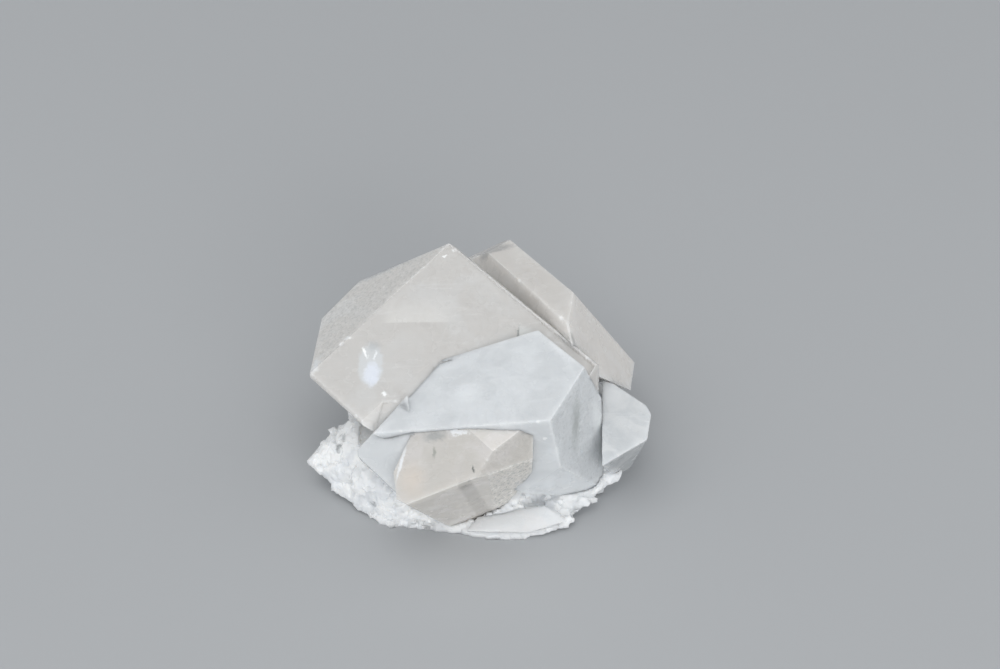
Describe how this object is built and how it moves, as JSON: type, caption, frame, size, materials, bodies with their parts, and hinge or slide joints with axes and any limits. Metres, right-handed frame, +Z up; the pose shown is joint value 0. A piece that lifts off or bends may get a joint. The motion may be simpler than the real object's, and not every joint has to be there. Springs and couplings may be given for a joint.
{
  "type": "quartz crystal cluster",
  "caption": "Cluster of blunt, milky quartz crystals grown into one another on a broken white rock base, which rests on its flat underside.",
  "frame": {"origin": "middle of the footprint, on the surface the cluster rests on", "axes": "+Z up, +X to the right and +Y to the back as the cluster is shown"},
  "size_m": [0.0686, 0.0638, 0.0399],
  "materials": {
    "quartz": "satin",
    "rock": "matte"
  },
  "bodies": {
    "root": {"crystal_centre": "quartz", "crystal_left": "quartz", "crystal_back": "quartz", "crystal_front": "quartz", "crystal_side": "quartz", "crystal_low": "quartz", "crystal_right": "quartz", "rock_base": "rock"}
  },
  "joints": []
}
